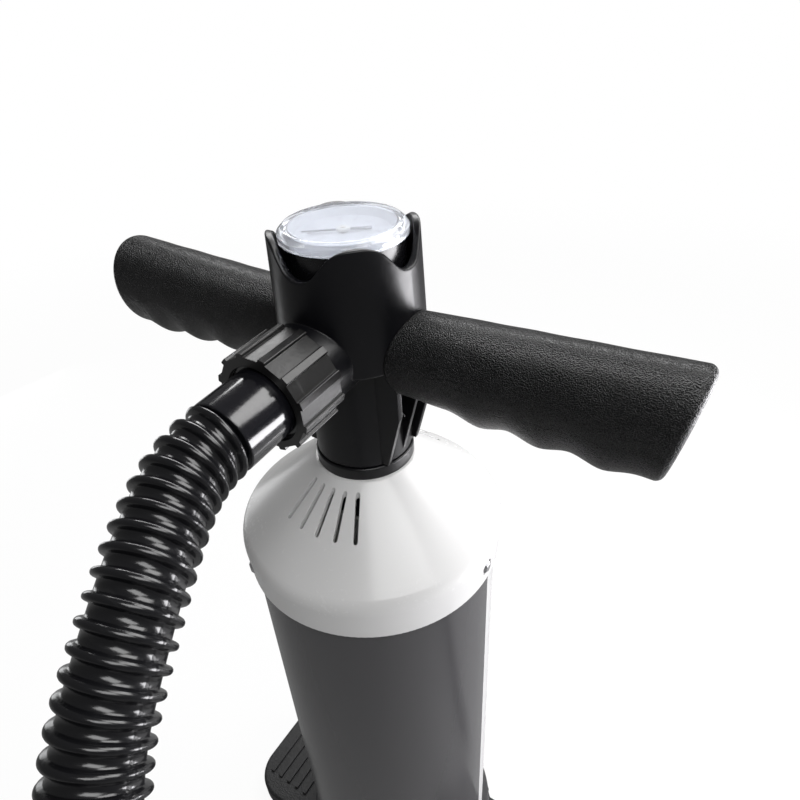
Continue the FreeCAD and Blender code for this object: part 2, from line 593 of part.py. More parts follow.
def makeHandleBody():
    column, ledge, petal = size["columnRadius"], ledgeHeight, petalTop
    pocket = size["crownRadius"] - size["crownWall"]
    hub = turned("handle_hub", [
        (0, columnBottom), (column, columnBottom, 0.8), (column, ledge, 1.2),
        (size["hubRadius"], ledge, 0.8), (size["crownRadius"], petal), (0, petal)])
    slope = math.radians(size["valleySlope"].value)
    bottomHalf = size["valleyRound"] * math.tan(slope / 2) + 0.2
    topHalf = bottomHalf + size["valleyDepth"] / math.tan(slope)
    peakHalf = size["crownRadius"] * math.sin(math.radians(45))
    valley = petal - size["valleyDepth"]
    for role in ("XZ_Plane", "YZ_Plane"):
        wave = newSketch(hub, "valley_" + role[:2], role, [
            (-peakHalf, petal + 3), (-peakHalf, petal), (-topHalf, petal, size["petalRound"]),
            (-bottomHalf, valley, size["valleyRound"]), (bottomHalf, valley, size["valleyRound"]),
            (topHalf, petal, size["petalRound"]), (peakHalf, petal), (peakHalf, petal + 3)])
        pocketCut = hub.newObject("PartDesign::Pocket", "valleys_" + role[:2])
        pocketCut.Profile = wave
        pocketCut.Type = 1
        pocketCut.Midplane = True
        wave.Visibility = False
    arm = cylinder("handle_arm", size["armRadius"], size["armLength"] * 2)
    place(arm, -size["armLength"], 0, armHeight, axis=(0, 1, 0), angle=90)
    finEdge = column - 0.5
    finTop = columnBottom + size["finRise"]
    blades = []
    for number in range(-1, 2):
        blade = padded(f"handle_fin_{number + 1}", "XZ_Plane", [
            (-finEdge, columnBottom + 1.2), (finEdge, columnBottom + 1.2),
            (finEdge + size["finReach"], finTop), (finEdge + size["finReach"], ledge + 1),
            (-(finEdge + size["finReach"]), ledge + 1), (-(finEdge + size["finReach"]), finTop)],
            size["finThick"], True)
        blades.append(place(blade, 0, size["finSpacing"] * number, 0))
    finLimit = cylinder("fin_limit", size["hubRadius"] - runFit, size["columnLength"] + 1)
    place(finLimit, 0, 0, columnBottom)
    fins = common("handle_fins", [fused("fin_blades", blades), finLimit])
    bossEnd = size["nutStart"] - gap
    boss = turned("outlet_boss", [
        (0, 0), (size["outletBossRadius"], 0), (size["outletBossRadius"], bossEnd),
        (size["spigotRadius"], bossEnd), (size["spigotRadius"], size["spigotEnd"], 0.8),
        (0, size["spigotEnd"])])
    onOutlet(boss)
    solid = fused("handle_solid", [hub, arm, boss, fins])
    chamberTop = pocketFloor - 8
    rodBore = size["rodRadius"] + seatGap
    voids = turned("handle_voids", [
        (0, columnBottom - 1), (rodBore, columnBottom - 1), (rodBore, rodTop + runFit),
        (size["chamberRadius"], rodTop + runFit), (size["chamberRadius"], chamberTop),
        (size["gaugePortRadius"], chamberTop), (size["gaugePortRadius"], pocketFloor),
        (pocket, pocketFloor, 2), (pocket, petal + 1), (0, petal + 1)])
    outletBore = onOutlet(cylinder("outlet_bore", size["outletBore"], size["spigotEnd"] + 1))
    pinHole = cylinder("handle_pin_hole", size["pinRadius"] + seatGap, column * 2 + 4)
    place(pinHole, -(column + 2), 0, rodTop - 20, axis=(0, 1, 0), angle=90)
    blank = cut("handle_blank", solid, [voids, outletBore, pinHole])
    rimBottom = valley.value - 0.01
    return rounded("handle_body", blank, size["crownRound"], lambda edge: (
        edge.BoundBox.ZMin > rimBottom and max(edge.BoundBox.XMax, edge.BoundBox.YMax,
        -edge.BoundBox.XMin, -edge.BoundBox.YMin) < pocket.value + 0.01
        and edge.BoundBox.ZMax < petal.value + 0.01))


def makeGrips():
    """Lofted through upright ellipses; the underside rises between the fingers."""
    step = size["fingerPitch"] / 4
    spare = size["gripEndRound"] * 4
    lastStation = int((size["gripLength"] + spare - size["fingerFirst"]).value / step.value) + 1
    sections = []
    for number in range(-7, lastStation + 1):
        along = size["fingerFirst"] + step * number
        lift = math.sin(math.pi * number / 4) ** 2 if -2 < number < 10 else 1
        top = armHeight + size["gripTop"] + size["gripRise"] * (along - size["hubRadius"])
        bottom = (armHeight - size["gripBottom"] - size["gripFall"] * (along - size["fingerFirst"])
                  + size["fingerDepth"] * lift)
        halfHeight = (top - bottom) / 2
        halfWidth = size["gripHalfWidth"] if number > -2 else halfHeight * 0.98
        section = doc.addObject("Part::Ellipse", f"grip_section_{number + 7}")
        bind(section, MajorRadius=halfHeight, MinorRadius=halfWidth)
        sections.append(place(section, along, 0, (top + bottom) / 2, axis=(0, 1, 0), angle=-90))
    loft = doc.addObject("Part::Loft", "grip_loft")
    loft.Sections = sections
    loft.Solid = True
    reach = size["gripHalfWidth"] * 3
    endTool = box("grip_end_tool", reach, reach * 2, reach * 2)
    lean = math.radians(size["gripEndAngle"].value)
    place(endTool, size["gripLength"] - reach * math.sin(lean), -reach,
          armHeight - reach * math.cos(lean), axis=(0, 1, 0), angle=size["gripEndAngle"])
    trimmed = cut("grip_trimmed", loft, [endTool])
    endRound = rounded("grip_rounded", trimmed, size["gripEndRound"],
                       lambda edge: edge.BoundBox.XMin > size["gripLength"].value - 12)
    hubTool = turned("grip_hub_tool", [
        (0, columnBottom), (size["hubRadius"] + seatGap, columnBottom),
        (size["hubRadius"] + seatGap, ledgeHeight),
        (size["crownRadius"] + seatGap, petalTop), (0, petalTop)])
    bore = cylinder("grip_bore", size["armRadius"] + seatGap, size["armLength"] + seatGap)
    place(bore, 0, 0, armHeight, axis=(0, 1, 0), angle=90)
    right = cut("grip_right", endRound, [hubTool, bore])
    left = doc.addObject("Part::Mirroring", "grip_left")
    left.Source = right
    left.Normal = FreeCAD.Vector(1, 0, 0)
    return [right, left]


def makeOutletPieces():
    gasketEnd = size["spigotEnd"] + size["gasketThick"]
    flangeEnd = gasketEnd + size["cuffFlange"]
    nutBore = size["spigotRadius"] + gap
    count = int(size["nutRibs"].value)
    length, half = size["nutEnd"] - size["nutStart"], size["nutRibWidth"] / 2
    nut = newBody("nut_blank")
    flats = newSketch(nut, "nut_flats", "XY_Plane", [
        (size["nutRadius"] * cosine, size["nutRadius"] * sine) for _, cosine, sine, _ in around(count)])
    rib = newSketch(nut, "nut_rib", "XY_Plane", [
        (size["nutRadius"] - 3, -half), (size["nutRibRadius"], -half, 0.5),
        (size["nutRibRadius"], half, 0.5), (size["nutRadius"] - 3, half)])
    pads = []
    for sketch in (flats, rib):
        pad = nut.newObject("PartDesign::Pad", sketch.Name + "_pad")
        pad.Profile = sketch
        bind(pad, Length=length)
        sketch.Visibility = False
        pads.append(pad)
    doc.recompute()
    pattern = nut.newObject("PartDesign::PolarPattern", "nut_rib_pattern")
    pattern.Originals = [pads[1]]
    pattern.Axis = (originPart(nut, "Z_Axis"), [""])
    pattern.Angle = 360
    pattern.Occurrences = count
    nut.Tip = pattern
    onOutlet(nut, size["nutStart"])
    spin = FreeCAD.Rotation(FreeCAD.Vector(0, 0, 1), size["nutTurn"].value)
    nut.Placement = FreeCAD.Placement(nut.Placement.Base, nut.Placement.Rotation.multiply(spin))
    lipStart = size["nutEnd"] - size["nutLip"]
    nutVoid = onOutlet(turned("nut_void", [
        (0, size["nutStart"] - 1), (nutBore, size["nutStart"] - 1), (nutBore, lipStart),
        (size["nutLipRadius"], lipStart), (size["nutLipRadius"], size["nutEnd"] - 0.8),
        (size["nutLipRadius"] + 1, size["nutEnd"] + 1), (0, size["nutEnd"] + 1)]))
    nut = cut("hose_nut", nut, [nutVoid])
    gasket = onOutlet(ring("hose_gasket", size["outletBore"], size["spigotRadius"] - 0.4,
                           size["spigotEnd"] + runFit, gasketEnd))
    cuff = onOutlet(turned("hose_cuff", [
        (size["cuffBore"], gasketEnd + runFit), (size["spigotRadius"] - 0.1, gasketEnd + runFit),
        (size["spigotRadius"] - 0.1, flangeEnd), (size["cuffRadius"], flangeEnd),
        (size["cuffRadius"], size["cuffEnd"], 0.6), (size["cuffBore"], size["cuffEnd"])]))
    return [nut, gasket, cuff]


def makeHose():
    """Straight runs joined by arcs that are as large as their two runs allow."""
    points = [FreeCAD.Vector(*point) for point in hoseRoute]
    edges, radii, here = [], [], points[0]
    for before, corner, after in zip(points, points[1:], points[2:]):
        back, ahead = before - corner, after - corner
        shorter = min(back.Length, ahead.Length)
        back.normalize()
        ahead.normalize()
        halfTurn = (math.pi - back.getAngle(ahead)) / 2
        radius = 0.45 * shorter / math.tan(halfTurn)
        start, end = corner + back * (0.45 * shorter), corner + ahead * (0.45 * shorter)
        middle = (back + ahead).normalize()
        inward = radius / math.cos(halfTurn) - radius
        edges.append(Part.makeLine(here, start))
        edges.append(Part.Arc(start, corner + middle * inward, end).toShape())
        radii.append(radius)
        here = end
    edges.append(Part.makeLine(here, points[-1]))
    path = Part.Wire(edges)
    outer = size["hoseRadius"].value
    inner = outer - size["hoseWall"].value
    first = (points[1] - points[0]).normalize()
    solids = []
    for radius in (outer, inner):
        section = Part.Wire([Part.makeCircle(radius, points[0], first)])
        solids.append(path.makePipeShell([section], True, False))
    tube = solids[0].cut(solids[1])
    hose = doc.addObject("Part::Feature", "hose_tube")
    hose.Shape = tube
    expected = math.pi * (outer ** 2 - inner ** 2) * path.Length
    print("hose length", round(path.Length, 1), "volume ratio", round(tube.Volume / expected, 4))
    print("hose arc radii", [round(number) for number in radii])
    return hose


def atHoseEnd(item):
    """Turns a piece made along +Z to follow the end of the hose."""
    last = FreeCAD.Vector(*hoseRoute[-1])
    ahead = (last - FreeCAD.Vector(*hoseRoute[-2])).normalize()
    start = last + ahead * gap.value
    item.Placement = FreeCAD.Placement(start, FreeCAD.Rotation(FreeCAD.Vector(0, 0, 1), ahead))
    return item


def makeHoseEnd():
    cuff, start = size["cuffRadius"], size["endCuffLength"]
    collar, nose = size["adapterRadius"], size["adapterNose"]
    endCuff = atHoseEnd(turned("hose_end_cuff", [
        (size["cuffBore"], 0), (cuff, 0, 0.6), (cuff, start), (size["cuffBore"], start)]))
    noseStart, noseEnd = start + size["adapterLength"] * 0.55, start + size["adapterLength"]
    collarBody = turned("adapter_body", [
        (size["cuffBore"] - 3, start - 12), (size["cuffBore"] - seatGap, start - 12),
        (size["cuffBore"] - seatGap, start + runFit), (collar, start + runFit, 0.8),
        (collar, noseStart, 1.2), (nose, noseStart), (nose, noseEnd, 1), (size["cuffBore"] - 3, noseEnd)])
    lugs = box("adapter_lugs", nose * 2 + 5.6, 5, 3)
    place(lugs, -(nose + 2.8), -2.5, noseEnd - 5)
    adapter = fused("adapter_blank", [collarBody, lugs])
    adapterBore = cylinder("adapter_bore", size["cuffBore"] - 3, size["adapterLength"] + 20)
    place(adapterBore, 0, 0, start - 15)
    adapter = atHoseEnd(cut("valve_adapter", adapter, [adapterBore]))
    gasket = atHoseEnd(ring("adapter_gasket", nose + runFit, nose + 3.2, noseStart + runFit,
                            noseStart + 2))
    return [endCuff, adapter, gasket]


def makeGauge():
    caseBottom = pocketFloor + 1.2
    lensBottom = lensTop - size["lensHeight"]
    dialTop = lensBottom - 0.2
    dialSeat = dialTop - size["dialThick"]
    well = size["dialRadius"] - 2
    case = turned("gauge_case", [
        (0, caseBottom - size["stemLength"]), (size["stemRadius"], caseBottom - size["stemLength"]),
        (size["stemRadius"], caseBottom), (size["caseRadius"], caseBottom, 1.2),
        (size["caseRadius"], lensBottom - runFit), (size["dialRadius"] + seatGap, lensBottom - runFit),
        (size["dialRadius"] + seatGap, dialSeat - runFit), (well, dialSeat - runFit),
        (well, caseBottom + size["caseWall"]), (0, caseBottom + size["caseWall"])])
    gasket = ring("gauge_gasket", size["gaugePortRadius"] + 1, size["gaugePortRadius"] + 5,
                  pocketFloor + runFit, caseBottom - runFit)
    arborTop = dialTop + 2
    arbor = size["arborRadius"]
    movement = turned("gauge_movement", [
        (0, caseBottom + size["caseWall"] + runFit), (13, caseBottom + size["caseWall"] + runFit),
        (13, dialSeat - 4), (5, dialSeat - 4), (5, dialSeat - 1), (arbor, dialSeat - 1),
        (arbor, arborTop), (0, arborTop)])
    rimTop = lensTop - size["lensFace"] - gap * 3
    rimOuter = size["dialRadius"] - seatGap
    dial = turned("gauge_dial", [
        (arbor + 0.6, dialSeat), (rimOuter, dialSeat), (rimOuter, rimTop),
        (rimOuter - size["dialRimWall"], rimTop), (size["dialFlat"], dialTop), (arbor + 0.6, dialTop)])
    needleBottom = dialTop + 0.7
    blade = padded("needle_blade", "XY_Plane", [
        (-size["needleTail"], -1.1), (0, -0.8), (size["needleReach"], -0.25),
        (size["needleReach"], 0.25), (0, 0.8), (-size["needleTail"], 1.1)], size["needleThick"])
    place(blade, 0, 0, needleBottom, angle=size["needleTurn"])
    hub = cylinder("needle_hub", size["needleHub"], size["needleThick"] * 2)
    place(hub, 0, 0, needleBottom)
    hole = cylinder("needle_hole", arbor + runFit, 4)
    place(hole, 0, 0, needleBottom - 1)
    needle = cut("gauge_needle", fused("needle_blank", [blade, hub]), [hole])
    face = lensTop - size["lensFace"]
    lens = turned("gauge_lens", [
        (0, face), (size["dialRadius"], face, 0.8), (size["dialRadius"], lensBottom),
        (size["lensRadius"], lensBottom, 0.6), (size["lensRadius"], lensTop - size["lensChamfer"], 1),
        (size["lensRadius"] - size["lensChamfer"], lensTop, 0.8), (0, lensTop)])
    return [case, gasket, movement, dial, needle, lens]


def checked(items):
    doc.recompute()
    for item in doc.Objects:
        if "Invalid" in item.State or "Error" in item.State:
            raise RuntimeError(f"{item.Label} failed: {item.State}")
    for item in items:
        if item.Shape.isNull() or not item.Shape.isValid():
            raise RuntimeError(f"{item.Label} has no valid shape")
        if not item.Shape.Solids:
            raise RuntimeError(f"{item.Label} has no solid")
    return items


def writeParts(items):
    os.makedirs("parts", exist_ok=True)
    for item in items:
        item.Shape.exportStep(f"parts/{item.Label}.step")
    print(len(items), "parts written")


pieces = [makeFootBase()] + makeBasePieces() + [makeBarrel()] + makeTopHead() + makeTopCap()
pieces += makePiston() + [makeHandleBody()] + makeGrips() + makeOutletPieces()
pieces += [makeHose()] + makeHoseEnd() + makeGauge()
writeParts(checked(pieces))
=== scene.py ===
import json
import math
import bmesh
import bpy
import numpy as np
from mathutils import Matrix, Vector


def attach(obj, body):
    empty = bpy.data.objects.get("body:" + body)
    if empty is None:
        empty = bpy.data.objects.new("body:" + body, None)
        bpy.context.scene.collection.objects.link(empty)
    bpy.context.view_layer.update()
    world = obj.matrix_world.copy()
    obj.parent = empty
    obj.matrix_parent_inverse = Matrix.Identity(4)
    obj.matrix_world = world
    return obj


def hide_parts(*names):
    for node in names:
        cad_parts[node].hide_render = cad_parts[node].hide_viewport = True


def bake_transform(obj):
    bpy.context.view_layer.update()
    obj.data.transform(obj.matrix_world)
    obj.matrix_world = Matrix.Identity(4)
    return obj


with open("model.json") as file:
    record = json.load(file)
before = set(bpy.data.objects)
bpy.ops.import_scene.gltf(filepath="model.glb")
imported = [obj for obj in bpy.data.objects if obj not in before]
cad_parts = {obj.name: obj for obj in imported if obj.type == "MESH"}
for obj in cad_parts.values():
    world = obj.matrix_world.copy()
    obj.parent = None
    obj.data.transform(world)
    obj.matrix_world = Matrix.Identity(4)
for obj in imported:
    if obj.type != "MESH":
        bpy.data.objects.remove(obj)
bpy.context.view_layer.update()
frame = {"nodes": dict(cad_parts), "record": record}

nodes = frame["nodes"]
record = frame["record"]
nodeSlots = {part["node"]: part["material_slot"] for part in record["subparts"]}
bodyOf = {node: body for body, members in record["behaviour"]["bodies"].items() for node in members}
print("pump loaded:", len(nodes), "pieces")

# angles in degrees, distances in metres, lens and sensor in millimetres
cameraLook = {"azimuth": 34.457, "elevation": 34.503, "roll": -3.569, "distance": 0.28104,
              "target": (0.02191, 0.0, 0.44268), "lens": 28.556, "sensor": 36, "nearest": 0.01}


def makeCamera():
    look = cameraLook
    azimuth = math.radians(look["azimuth"])
    elevation = math.radians(look["elevation"])
    roll = math.radians(look["roll"])
    back = Vector((math.sin(azimuth) * math.cos(elevation),
                   -math.cos(azimuth) * math.cos(elevation),
                   math.sin(elevation)))
    right = (-back).cross(Vector((0, 0, 1))).normalized()
    up = right.cross(-back)
    across = right * math.cos(roll) + up * math.sin(roll)
    upward = up * math.cos(roll) - right * math.sin(roll)
    camera = bpy.data.cameras.new("camera")
    camera.lens = look["lens"]
    camera.sensor_width = look["sensor"]
    camera.clip_start = look["nearest"]
    item = bpy.data.objects.new("camera", camera)
    bpy.context.scene.collection.objects.link(item)
    turn = Matrix((across, upward, back)).transposed().to_4x4()
    item.matrix_world = Matrix.Translation(Vector(look["target"]) + back * look["distance"]) @ turn
    bpy.context.scene.camera = item


makeCamera()
print("camera placed")


# small helpers for shader trees

noiseMiddle = 0.5  # what a noise texture gives on average


def addNode(tree, kind, **settings):
    node = tree.nodes.new(kind)
    for name, value in settings.items():
        setattr(node, name, value)
    return node


def feed(tree, socket, value):
    # a number is written on the socket, anything else is linked to it
    if isinstance(value, (int, float)):
        socket.default_value = value
    else:
        tree.links.new(value, socket)


def mathNode(tree, operation, first, second=None, clamp=False):
    node = addNode(tree, "ShaderNodeMath", operation=operation, use_clamp=clamp)
    feed(tree, node.inputs[0], first)
    if second is not None:
        feed(tree, node.inputs[1], second)
    return node.outputs[0]


def noiseNode(tree, vector, scale, detail=2.0, roughness=0.5):
    noise = addNode(tree, "ShaderNodeTexNoise")
    noise.inputs["Detail"].default_value = detail
    noise.inputs["Roughness"].default_value = roughness
    tree.links.new(vector, noise.inputs["Vector"])
    feed(tree, noise.inputs["Scale"], scale)
    return noise


def makeGroup(name, inputs, outputs):
    # the group with its own input and output nodes
    group = bpy.data.node_groups.new(name, "ShaderNodeTree")
    for label, kind, value in inputs:
        socket = group.interface.new_socket(name=label, in_out="INPUT", socket_type=kind)
        if value is not None:
            socket.default_value = value
    for label, kind in outputs:
        group.interface.new_socket(name=label, in_out="OUTPUT", socket_type=kind)
    return group, group.nodes.new("NodeGroupInput"), group.nodes.new("NodeGroupOutput")


pebbleLook = {"detail": 1.0, "valley": 0.38, "crown": 0.64}


def makePebbleGroup():
    # small rounded pebbles of uneven size, as a spark-eroded mould leaves them
    look = pebbleLook
    group, inside, outside = makeGroup(
        "pebbleGrain",
        [("Vector", "NodeSocketVector", None), ("Scale", "NodeSocketFloat", 1500.0)],
        [("Height", "NodeSocketFloat")])
    pebbles = noiseNode(group, inside.outputs["Vector"], inside.outputs["Scale"],
                        detail=look["detail"])
    domes = addNode(group, "ShaderNodeMapRange", interpolation_type="SMOOTHSTEP")
    domes.inputs["From Min"].default_value = look["valley"]
    domes.inputs["From Max"].default_value = look["crown"]
    group.links.new(pebbles.outputs["Fac"], domes.inputs["Value"])
    group.links.new(domes.outputs["Result"], outside.inputs["Height"])
    return group


mouldLook = {"slowDetail": 4.0, "fineTimes": 22.0}


def makeMouldGroup():
    # slow drift of tone and gloss over a moulded skin, with a fine haze
    look = mouldLook
    group, inside, outside = makeGroup(
        "mouldDrift",
        [("Vector", "NodeSocketVector", None), ("Color", "NodeSocketColor", (0.5, 0.5, 0.5, 1)),
         ("Scale", "NodeSocketFloat", 30.0), ("Drift", "NodeSocketFloat", 0.1),
         ("Roughness", "NodeSocketFloat", 0.4), ("Haze", "NodeSocketFloat", 0.08)],
        [("Color", "NodeSocketColor"), ("Roughness", "NodeSocketFloat"),
         ("Height", "NodeSocketFloat")])
    link = group.links.new
    slow = noiseNode(group, inside.outputs["Vector"], inside.outputs["Scale"],
                     detail=look["slowDetail"])
    fineScale = mathNode(group, "MULTIPLY", inside.outputs["Scale"], look["fineTimes"])
    fine = noiseNode(group, inside.outputs["Vector"], fineScale)
    centred = mathNode(group, "SUBTRACT", slow.outputs["Fac"], noiseMiddle)
    drifted = mathNode(group, "MULTIPLY", centred, inside.outputs["Drift"])
    factor = mathNode(group, "ADD", drifted, 1.0)
    tint = addNode(group, "ShaderNodeVectorMath", operation="SCALE")
    link(inside.outputs["Color"], tint.inputs[0])
    link(factor, tint.inputs["Scale"])
    link(tint.outputs[0], outside.inputs["Color"])
    fineCentred = mathNode(group, "SUBTRACT", fine.outputs["Fac"], noiseMiddle)
    both = mathNode(group, "ADD", centred, fineCentred)
    haze = mathNode(group, "MULTIPLY", both, inside.outputs["Haze"])
    hazed = mathNode(group, "ADD", inside.outputs["Roughness"], haze, clamp=True)
    link(hazed, outside.inputs["Roughness"])
    link(fine.outputs["Fac"], outside.inputs["Height"])
    return group


scuffLook = {"stretch": (1.0, 6.0, 1.4), "turn": (0.4, 0.7, 0.3), "detail": 5.0,
             "roughness": 0.7, "threshold": 0.6, "sharpness": 9.0}


def makeScuffGroup():
    # thin rubs and scratches from hands and bags
    look = scuffLook
    group, inside, outside = makeGroup(
        "handlingScuffs",
        [("Vector", "NodeSocketVector", None), ("Scale", "NodeSocketFloat", 60.0),
         ("Amount", "NodeSocketFloat", 0.3)],
        [("Mask", "NodeSocketFloat")])
    stretch = addNode(group, "ShaderNodeMapping")
    stretch.inputs["Scale"].default_value = look["stretch"]
    stretch.inputs["Rotation"].default_value = look["turn"]
    group.links.new(inside.outputs["Vector"], stretch.inputs["Vector"])
    noise = noiseNode(group, stretch.outputs[0], inside.outputs["Scale"],
                      detail=look["detail"], roughness=look["roughness"])
    lifted = mathNode(group, "SUBTRACT", noise.outputs["Fac"], look["threshold"])
    sharp = mathNode(group, "MULTIPLY", lifted, look["sharpness"], clamp=True)
    amount = mathNode(group, "MULTIPLY", sharp, inside.outputs["Amount"])
    group.links.new(amount, outside.inputs["Mask"])
    return group


pebbleGrain = makePebbleGroup()
mouldDrift = makeMouldGroup()
handlingScuffs = makeScuffGroup()


def useGroup(tree, group, vector, **values):
    node = addNode(tree, "ShaderNodeGroup", node_tree=group)
    tree.links.new(vector, node.inputs["Vector"])
    for name, value in values.items():
        node.inputs[name].default_value = value
    return node


def newMaterial(name):
    # an empty material: its tree, its shader and the place on the piece
    material = bpy.data.materials.new(name)
    material.use_nodes = True
    tree = material.node_tree
    tree.nodes.clear()
    shader = addNode(tree, "ShaderNodeBsdfPrincipled")
    output = addNode(tree, "ShaderNodeOutputMaterial")
    tree.links.new(shader.outputs[0], output.inputs["Surface"])
    spot = addNode(tree, "ShaderNodeTexCoord").outputs["Object"]
    return material, tree, shader, spot


def mixColors(tree, mask, first, second):
    # sockets 6 and 7 are the node's two colours, output 2 is the mixed one
    mix = addNode(tree, "ShaderNodeMix", data_type="RGBA")
    tree.links.new(mask, mix.inputs["Factor"])
    for socket, value in ((mix.inputs[6], first), (mix.inputs[7], second)):
        if isinstance(value, tuple):
            socket.default_value = (*value, 1)
        else:
            tree.links.new(value, socket)
    return mix.outputs[2]


edgeSamples = 6


def addBumps(tree, shader, edge, bumps):
    # rounded edges first, then each height map with its depth in metres
    normal = None
    if edge:
        bevel = addNode(tree, "ShaderNodeBevel", samples=edgeSamples)
        bevel.inputs["Radius"].default_value = edge
        normal = bevel.outputs[0]
    for height, depth in bumps:
        bump = addNode(tree, "ShaderNodeBump")
        bump.inputs["Distance"].default_value = depth
        tree.links.new(height, bump.inputs["Height"])
        if normal is not None:
            tree.links.new(normal, bump.inputs["Normal"])
        normal = bump.outputs[0]
    if normal is not None:
        tree.links.new(normal, shader.inputs["Normal"])


# what every finish has unless its own line says otherwise; edge and heights in metres
commonLook = {"driftScale": 26, "drift": 0.25, "haze": 0.1, "bump": 0.00002, "edge": 0.0005,
              "scuffs": 0, "scuffScale": 45, "scuffColor": (0.1, 0.1, 0.1), "scuffRoughness": 0.35,
              "specular": 0.5, "coat": 0.0, "coatRoughness": 0.1, "metallic": 0.0, "grainScale": 0}
looks = {
    "handle_black": {"color": (0.003, 0.003, 0.0042), "roughness": 0.34, "scuffs": 0.04,
                     "edge": 0.0009, "specular": 0.4, "driftScale": 14},
    "grip_black": {"color": (0.004, 0.004, 0.0044), "roughness": 0.31, "grainScale": 2050,
                   "grainHeight": 0.00032, "edge": 0.0012, "drift": 0.4, "specular": 0.45},
    "nut_black": {"color": (0.007, 0.0067, 0.0067), "roughness": 0.33, "scuffs": 0.22,
                  "scuffScale": 30, "edge": 0.0003, "bump": 0.00005, "specular": 0.6},
    "cuff_black": {"color": (0.006, 0.006, 0.008), "roughness": 0.16, "coat": 0.5, "scuffs": 0.06,
                   "haze": 0.14},
    "hose_black": {"color": (0.006, 0.006, 0.007), "roughness": 0.2, "coat": 0.25, "bump": 0.00005,
                   "scuffs": 0.05, "haze": 0.14},
    "adapter_grey": {"color": (0.05, 0.05, 0.05), "roughness": 0.45},
    "collar_black": {"color": (0.004, 0.004, 0.005), "roughness": 0.3},
    "cap_white": {"color": (0.66, 0.658, 0.656), "roughness": 0.26, "coat": 0.2, "drift": 0.02,
                  "haze": 0.05, "bump": 0.00001, "edge": 0.0004, "coatRoughness": 0.14,
                  "specular": 0.35},
    "barrel_white": {"color": (0.55, 0.55, 0.55), "roughness": 0.22, "drift": 0.03, "haze": 0.05,
                     "bump": 0.00001},
    "base_plastic": {"color": (0.014, 0.014, 0.015), "roughness": 0.5, "grainScale": 900,
                     "grainHeight": 0.00012, "scuffs": 0.2},
    "inner_plastic": {"color": (0.6, 0.6, 0.58), "roughness": 0.4, "drift": 0.05},
    "seal_rubber": {"color": (0.015, 0.015, 0.015), "roughness": 0.6},
    "gauge_black": {"color": (0.005, 0.005, 0.006), "roughness": 0.28},
    "dial_white": {"color": (0.8, 0.81, 0.83), "roughness": 0.45, "drift": 0.01, "haze": 0.02,
                   "edge": 0},
    "needle_dark": {"color": (0.16, 0.16, 0.17), "roughness": 0.4, "metallic": 0.3, "edge": 0},
    "pin_black": {"color": (0.01, 0.01, 0.01), "roughness": 0.4, "metallic": 0.5},
    "screw_steel": {"color": (0.6, 0.6, 0.61), "roughness": 0.25, "metallic": 1.0},
    "rod_aluminium": {"color": (0.62, 0.63, 0.65), "roughness": 0.22, "metallic": 1.0},
    "movement_brass": {"color": (0.7, 0.66, 0.55), "roughness": 0.3, "metallic": 1.0},
}

panelLook = {"color": (0.06, 0.059, 0.062), "sideY": 0.0089, "bottom": 0.078}


def panelMask(tree, spot):
    # a bare dark band round the front half of the barrel
    split = addNode(tree, "ShaderNodeSeparateXYZ")
    tree.links.new(spot, split.inputs[0])
    front = mathNode(tree, "LESS_THAN", split.outputs["Y"], panelLook["sideY"])
    above = mathNode(tree, "GREATER_THAN", split.outputs["Z"], panelLook["bottom"])
    return mathNode(tree, "MULTIPLY", front, above)


needleLook = {"hubRadius": 0.0028, "hubColor": (0.78, 0.77, 0.72)}


def needleHub(tree, spot):
    # the pale bush in the middle of the needle, by its distance from the needle's axis
    flat = addNode(tree, "ShaderNodeVectorMath", operation="MULTIPLY")
    flat.inputs[1].default_value = (1, 1, 0)
    away = addNode(tree, "ShaderNodeVectorMath", operation="LENGTH")
    tree.links.new(spot, flat.inputs[0])
    tree.links.new(flat.outputs[0], away.inputs[0])
    return mathNode(tree, "LESS_THAN", away.outputs["Value"], needleLook["hubRadius"])


def mouldedPlastic(name):
    # every solid finish, plastic or metal, from its line in looks
    look = {**commonLook, **looks[name]}
    material, tree, shader, spot = newMaterial(name)
    drift = useGroup(tree, mouldDrift, spot, Color=(*look["color"], 1), Scale=look["driftScale"],
                     Drift=look["drift"], Roughness=look["roughness"], Haze=look["haze"])
    color, roughness = drift.outputs["Color"], drift.outputs["Roughness"]
    if name == "needle_dark":
        color = mixColors(tree, needleHub(tree, spot), color, needleLook["hubColor"])
    if name == "barrel_white":
        color = mixColors(tree, panelMask(tree, spot), color, panelLook["color"])
    if look["scuffs"]:
        scuffs = useGroup(tree, handlingScuffs, spot, Scale=look["scuffScale"],
                          Amount=look["scuffs"])
        color = mixColors(tree, scuffs.outputs["Mask"], color, look["scuffColor"])
        rubbed = mathNode(tree, "MULTIPLY", scuffs.outputs["Mask"], look["scuffRoughness"])
        roughness = mathNode(tree, "ADD", roughness, rubbed, clamp=True)
    tree.links.new(color, shader.inputs["Base Color"])
    tree.links.new(roughness, shader.inputs["Roughness"])
    shader.inputs["Specular IOR Level"].default_value = look["specular"]
    shader.inputs["Coat Weight"].default_value = look["coat"]
    shader.inputs["Coat Roughness"].default_value = look["coatRoughness"]
    shader.inputs["Metallic"].default_value = look["metallic"]
    bumps = [(drift.outputs["Height"], look["bump"])]
    if look["grainScale"]:
        grain = useGroup(tree, pebbleGrain, spot, Scale=look["grainScale"])
        bumps.append((grain.outputs["Height"], look["grainHeight"]))
    if name == "hose_black":
        bumps.append((hoseSeam(tree), hoseLook["seamHeight"]))
    addBumps(tree, shader, look["edge"], bumps)
    return material


lensLook = {"color": (0.93, 0.95, 1.0), "roughness": 0.05, "ior": 1.45, "transmission": 0.84,
            "edge": 0.0005, "rippleScale": 90.0, "rippleHeight": 0.00002}


